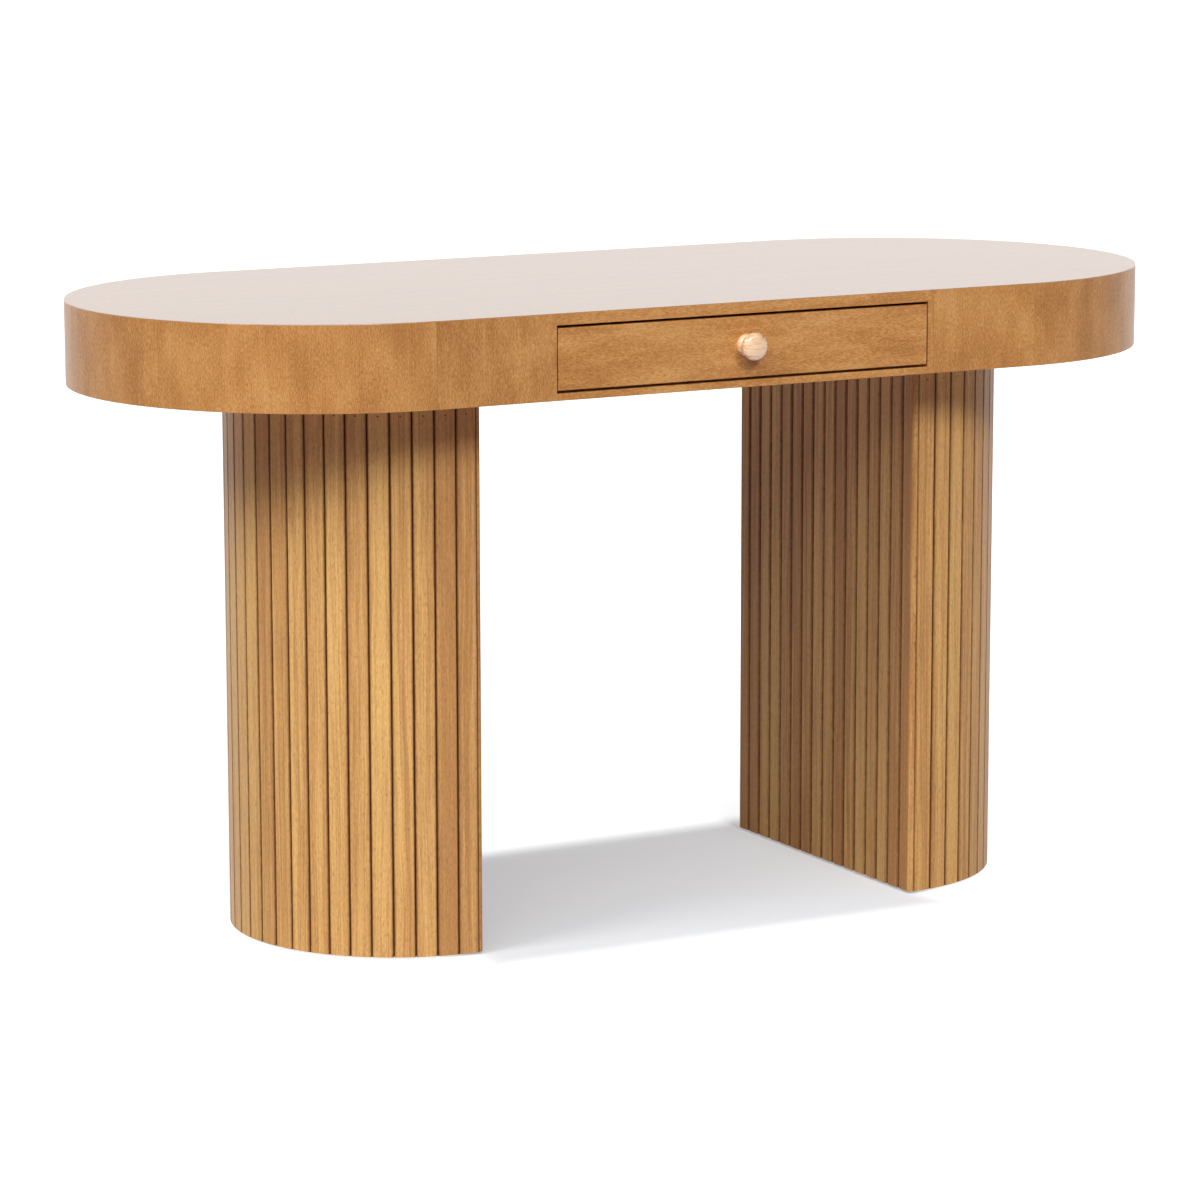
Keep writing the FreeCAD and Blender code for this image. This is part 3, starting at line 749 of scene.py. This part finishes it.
class BuildKnob(bpy.types.Operator):
    """Turns the knob: a base disc, a waist and a wide cap with rounded rims"""
    bl_idname = "desk.build_knob"
    bl_label = "Knob"

    # The base disc's straight part as a share of the knob's reach, and the rings in front
    # of it, each as a share of the reach and of the widest radius.
    first = 0.06
    rings = ((0.110, 0.810), (0.135, 0.804), (0.155, 0.785), (0.166, 0.755),
             (0.190, 0.720), (0.230, 0.680), (0.290, 0.640), (0.350, 0.625),
             (0.410, 0.640), (0.470, 0.690), (0.520, 0.770), (0.556, 0.860),
             (0.584, 0.925), (0.616, 0.970), (0.660, 0.996), (0.710, 1.000),
             (0.760, 0.992), (0.810, 0.965), (0.850, 0.920), (0.886, 0.850),
             (0.918, 0.745), (0.948, 0.610), (0.972, 0.450), (0.989, 0.280),
             (0.998, 0.110))

    def execute(self, context):
        reach, radius = KNOB_HIGH.y - KNOB_LOW.y, (KNOB_HIGH.z - KNOB_LOW.z) / 2
        centre_z = (KNOB_LOW.z + KNOB_HIGH.z) / 2
        along, wide = self.first, self.rings[0][1]
        start_clean()
        bpy.ops.mesh.primitive_cylinder_add(
            vertices=64, radius=radius * wide, depth=reach * along,
            rotation=(math.pi / 2, 0, 0),
            location=(0, KNOB_HIGH.y - reach * along / 2, centre_z))
        knob = settle("turned_knob")
        pick(knob, "FACE", lambda face: face.normal.y < -FACING)
        for next_along, next_wide in self.rings:
            bpy.ops.mesh.extrude_region_move(
                TRANSFORM_OT_translate={"value": (0, (along - next_along) * reach, 0)})
            change = next_wide / wide
            bpy.ops.transform.resize(value=(change, 1, change),
                                     center_override=(0, 0, centre_z))
            along, wide = next_along, next_wide
        bpy.ops.object.mode_set(mode="OBJECT")
        finish_mesh(knob, smooth=40)
        dress(knob, "drawer", "knob_wood", "knob")
        return {"FINISHED"}


class BuildScrews(bpy.types.Operator):
    """Builds the small screws of the drawer: four in its front and three in each slide"""
    bl_idname = "desk.build_screws"
    bl_label = "Small screws"

    # Places of the screws: as shares of the drawer front's half length and of the drawer
    # box's height, and as shares of a slide's length. A slide's steel is 1.2 mm thick.
    front_across = (-0.65, 0.65)
    front_up = (0.30, 0.67)
    slide_along = (0.12, 0.60, 0.94)
    slide_steel = 1.2 * MM

    def screw(self):
        """One pan head with a cross recess, on the origin, pointing along +Z."""
        radius, height = sizes().screw_radius, sizes().screw_height
        start_clean()
        bpy.ops.mesh.primitive_cylinder_add(vertices=24, radius=radius, depth=height,
                                            location=(0, 0, height / 2))
        head = settle("screw_head")
        round_edges(head, lambda edge: same(middle(edge).z, height) and is_corner(edge),
                    height * 0.55, 4)
        arm, width, bottom = radius * 0.52, radius * 0.13, height * 0.45
        for x, y in ((arm, width), (width, arm)):
            cutter = add_block("recess_cutter", (-x, -y, bottom), (x, y, height * 2))
            cut_out(head, cutter)
        return finish_mesh(head)

    def execute(self, context):
        head = self.screw()
        slide_z = (MEMBER_LOW.z + MEMBER_HIGH.z) / 2
        heads = []
        for x in self.front_across:
            for up in self.front_up:
                place = (x * DRAWER_HIGH.x, CASE_HIGH.y,
                         CASE_LOW.z + up * (CASE_HIGH.z - CASE_LOW.z))
                heads.append(self.placed(head, place, (-math.pi / 2, 0, 0)))
        for side in (-1, 1):
            for along in self.slide_along:
                y = MEMBER_LOW.y + along * (MEMBER_HIGH.y - MEMBER_LOW.y)
                place = (side * (SIDE_HIGH.x + self.slide_steel), y, slide_z)
                heads.append(self.placed(head, place, (0, side * math.pi / 2, 0)))
        remove(head)
        screws = joined(heads, "small_screws")
        dress(screws, "drawer", "zinc_steel")
        return {"FINISHED"}

    def placed(self, head, place, rotation):
        copy = copy_of(head, "small_screw")
        copy.location, copy.rotation_euler = place, rotation
        bpy.ops.object.transform_apply(location=True, rotation=True, scale=True)
        return copy


# The legs

def add_slat(name, width, bevel, corner=0):
    """One slat of the right leg at its axis, its back on x 0 and its face towards +X.
    corner is -1 or 1 for the last slat of the flat side, whose outer edge is rounder."""
    low, high = FLAT_LOW.z, FLAT_HIGH.z
    thickness = FLAT_HIGH.x - FLAT_LOW.x
    slat = add_block(name, (0, -width / 2, low), (thickness, width / 2, high))

    def is_long(edge, place_y):
        """True for an edge that runs the length of the face at place_y."""
        place = middle(edge)
        return (same(place.x, thickness) and same(place.y, place_y)
                and abs(place.z - (low + high) / 2) < MM)

    for side in (-1, 1):
        if side == corner:
            round_edges(slat, lambda edge: is_long(edge, side * width / 2),
                        sizes().corner_round, 8)
        else:
            round_edges(slat, lambda edge: is_long(edge, side * width / 2), bevel, 1)
            round_edges(slat, lambda edge: is_long(edge, side * (width / 2 - bevel)),
                        sizes().slat_arris, 2)
    return finish_mesh(slat, smooth=25)


def mark_slat(slat, width, bevel, corner, tone):
    """Gives a slat its tone, its own stretch of figure, and the map of its face."""
    tones = slat.data.attributes.new("slat_tone", "FLOAT", "POINT")
    for value in tones.data:
        value.value = tone
    lay_map(slat, "grain", lambda place: (place.z + tone, place.y + tone))
    # The face map is laid out in the flat slats' widths, so a narrower bevel counts as
    # the wide one. The dark band of stain and painted groove shade lies on the bevels,
    # not on a corner slat's round side.
    side_line = LEG_RADIUS / sizes().flat_slats
    drawn = sizes().flat_bevel / bevel

    def on_face(place):
        across = side_line - drawn * (width / 2 - abs(place.y))
        across *= 0.5 if place.y * corner > 0 else 1
        return math.copysign(across, place.y), FLAT_HIGH.z - place.z

    lay_map(slat, "face", on_face)


class BuildSlats(bpy.types.Operator):
    """Builds the slat rows of both legs: one round the curve and one across the flat"""
    bl_idname = "desk.build_slats"
    bl_label = "Slats"

    def execute(self, context):
        self.chance = random.Random(11)      # seeded, so that each run looks the same
        self.curved_rows()
        self.flat_rows()
        return {"FINISHED"}

    def placed(self, slat, width, bevel, place, degrees, corner=0):
        """A copy of a slat with its own tone, turned about its back, then moved."""
        copy = copy_of(slat, "slat")
        mark_slat(copy, width, bevel, corner, self.chance.random())
        turn(degrees)
        bpy.ops.transform.translate(value=place)
        return copy

    def row(self, slats, name, node):
        whole = joined(slats, name)
        dress(whole, "desk", "slat_wood", node)

    def curved_rows(self):
        count = sizes().curved_slats
        step = 180 / count
        back = LEG_RADIUS - (FLAT_HIGH.x - FLAT_LOW.x)
        width = 2 * back * math.tan(math.radians(step / 2)) - sizes().slat_gap
        bevel = sizes().curved_bevel
        slat = add_slat("curved_slat", width, bevel)
        for side, sign in SIDES.items():
            slats = []
            for number in range(count):
                degrees = sign * (step * (number + 0.5) - 90) + (0 if sign > 0 else 180)
                way = math.radians(degrees)
                place = (sign * LEG_AXIS + back * math.cos(way),
                         BACK + back * math.sin(way), 0)
                slats.append(self.placed(slat, width, bevel, place, degrees))
            self.row(slats, f"{side}_curved_row", f"{side}_leg_curved_slats")
        remove(slat)

    def flat_rows(self):
        count = sizes().flat_slats
        pitch = 2 * LEG_RADIUS / count
        width = pitch - sizes().slat_gap
        bevel = sizes().flat_bevel
        patterns = {corner: add_slat("flat_slat", width, bevel, corner)
                    for corner in (0, -1, 1)}
        for side, sign in SIDES.items():
            slats = []
            for number in range(count):
                corner = {0: sign, count - 1: -sign}.get(number, 0)
                place = (sign * LEG_AXIS, BACK - LEG_RADIUS + pitch * (number + 0.5), 0)
                slats.append(self.placed(patterns[corner], width, bevel, place,
                                         180 if sign > 0 else 0, corner))
            self.row(slats, f"{side}_flat_row", f"{side}_leg_flat_slats")
        remove(*patterns.values())


class FinishFrame(bpy.types.Operator):
    """Gives the frame's own pieces, inside the desk, the finishes of their slots"""
    bl_idname = "desk.finish_frame"
    bl_label = "Inner pieces"

    def execute(self, context):
        slots = {row["node"]: row["material_slot"] for row in frame["record"]["subparts"]}
        for name, node in frame["nodes"].items():
            if node.hide_render:
                continue
            node.data.materials.clear()
            node.data.materials.append(finish_of(slots[name]))
        return {"FINISHED"}


# The stage

class BuildStage(bpy.types.Operator):
    """Builds the pale floor, the soft studio light and the camera"""
    bl_idname = "desk.build_stage"
    bl_label = "Stage"

    # Azimuth to the right of the front and elevation in degrees, strength, and the width
    # in degrees of the soft box that each lamp stands for.
    lamps = (("front_lamp", -4, 34, 1.55, 18),
             ("fill_lamp", -38, 37, 1.05, 40),
             ("side_lamp", -80, 41, 1.45, 24),
             ("overhead_lamp", 0, 80, 0.20, 50))

    # The camera's place from the desk's middle on the floor, its turn in degrees, and its
    # focal length in millimetres, all fitted to the desk's edges in the photograph.
    camera_place = (-2.6607, -4.7505, 1.3371)
    camera_turn = (79.8644, 0.0744, -29.0296)
    camera_lens = 134.87

    # How far the ground with painted shade, under a weaker glow, reaches from the origin
    # along X and Y, and where its soft edge begins and ends, from a little inside that
    # line to well outside it.
    painted_shade_reach = (LEG_AXIS - 10 * MM, 230 * MM)
    painted_shade_edge = (-10 * MM, 70 * MM)

    def execute(self, context):
        self.floor()
        self.lights()
        self.camera()
        return {"FINISHED"}

    def floor(self):
        start_clean()
        bpy.ops.mesh.primitive_plane_add(size=90)
        floor = settle("floor")
        material = new_material("pale_matt_floor")
        # Matt pale paint with a glow that brings it to the white of the backdrop. On the
        # ground between the legs the glow is weaker, which lets the desk's real shadow
        # show and adds painted shade to it. The camera and reflections see it so, and
        # what it throws back on the desk is dim and pinkish.
        add = functools.partial(add_node, material)
        place = add("ShaderNodeVectorMath", {0: (add("ShaderNodeTexCoord"), "Object")},
                    operation="ABSOLUTE")
        place = add("ShaderNodeVectorMath", {0: place, 1: (*self.painted_shade_reach, 0)},
                    operation="SUBTRACT")
        place = add("ShaderNodeSeparateXYZ", {"Vector": place})
        away = add("ShaderNodeMath", {0: (place, 0), 1: (place, 1)}, operation="MAXIMUM")
        inside, outside = self.painted_shade_edge
        # The glow's strength: low on the ground between the legs, as painted shade, and
        # high elsewhere to reach the backdrop's white.
        glow_with_painted_shade = add("ShaderNodeMapRange",
                   {"Value": away, "From Min": inside, "From Max": outside,
                    "To Min": 0.27, "To Max": 0.85}, interpolation_type="SMOOTHSTEP")
        paint = add("ShaderNodeBsdfDiffuse", {"Color": list(colours().floor)})
        glow = add("ShaderNodeEmission", {"Color": grey(1), "Strength": glow_with_painted_shade})
        lifted = add("ShaderNodeAddShader", {0: paint, 1: glow})
        dim = add("ShaderNodeBsdfDiffuse", {"Color": linear("#B1A7C0")})
        whole = add("ShaderNodeMixShader",
                    {0: self.seen_ray(material), 1: dim, 2: lifted})
        add("ShaderNodeOutputMaterial", {"Surface": whole})
        floor.data.materials.append(material)

    def seen_ray(self, owner):
        """1 for camera, glossy and transmission rays."""
        add = functools.partial(add_node, owner)
        path = add("ShaderNodeLightPath")
        seen = (path, "Is Camera Ray")
        for ray in ("Is Glossy Ray", "Is Transmission Ray"):
            seen = add("ShaderNodeMath", {0: seen, 1: (path, ray)}, operation="MAXIMUM")
        return seen

    def lights(self):
        world = bpy.context.scene.world or bpy.data.worlds.new("studio")
        bpy.context.scene.world = world
        world.use_nodes = True
        world.node_tree.nodes.clear()
        add = functools.partial(add_node, world)
        soft = add("ShaderNodeBackground", {"Color": grey(1), "Strength": 0.02})
        white = add("ShaderNodeBackground", {"Color": grey(1), "Strength": 1.0})
        mix = add("ShaderNodeMixShader", {0: self.seen_ray(world), 1: soft, 2: white})
        add("ShaderNodeOutputWorld", {"Surface": mix})
        for name, azimuth, elevation, strength, width in self.lamps:
            start_clean()
            bpy.ops.object.light_add(type="SUN", location=(0, -3, 4))
            lamp = bpy.context.object
            lamp.name = name
            lamp.data.energy = strength
            lamp.data.angle = math.radians(width)
            across, up = math.radians(azimuth), math.radians(elevation)
            towards = Vector((math.sin(across) * math.cos(up),
                              -math.cos(across) * math.cos(up), math.sin(up)))
            lamp.rotation_euler = towards.to_track_quat("Z", "Y").to_euler()

    def camera(self):
        x, y, z = self.camera_place
        bpy.ops.object.camera_add(location=(x, BACK + y, z),
                                  rotation=[math.radians(value)
                                            for value in self.camera_turn])
        camera = bpy.context.object
        camera.name = "photo_view"
        camera.data.lens = self.camera_lens
        camera.data.sensor_width = 36
        camera.data.clip_start, camera.data.clip_end = 0.1, 300
        bpy.context.scene.camera = camera
        bpy.context.scene.view_settings.view_transform = "Standard"


class DeskPanel(bpy.types.Panel):
    """Lists the desk's sizes, its colours and the steps that build it"""
    bl_idname = "VIEW3D_PT_console_desk"
    bl_label = "Console desk"
    bl_space_type = "VIEW_3D"
    bl_region_type = "UI"
    bl_category = "Desk"

    def draw(self, context):
        for operator in STEPS:
            self.layout.operator(operator.bl_idname)
        for group in (context.scene.desk_sizes, context.scene.desk_colours):
            box = self.layout.box()
            for name in group.bl_rna.properties.keys():
                if name not in ("rna_type", "name"):
                    box.prop(group, name)


STEPS = (BuildTop, BuildApron, BuildDrawerFront, BuildKnob, BuildScrews, BuildSlats,
         FinishFrame, BuildStage)
CLASSES = (DeskSizes, DeskColours) + STEPS + (DeskPanel,)


def register():
    for one in CLASSES:
        bpy.utils.register_class(one)
    bpy.types.Scene.desk_sizes = bpy.props.PointerProperty(type=DeskSizes)
    bpy.types.Scene.desk_colours = bpy.props.PointerProperty(type=DeskColours)


def unregister():
    del bpy.types.Scene.desk_colours
    del bpy.types.Scene.desk_sizes
    for one in reversed(CLASSES):
        bpy.utils.unregister_class(one)


def main():
    register()
    for operator in STEPS:
        group, step = operator.bl_idname.split(".")
        getattr(getattr(bpy.ops, group), step)()


if __name__ == "__main__":
    main()
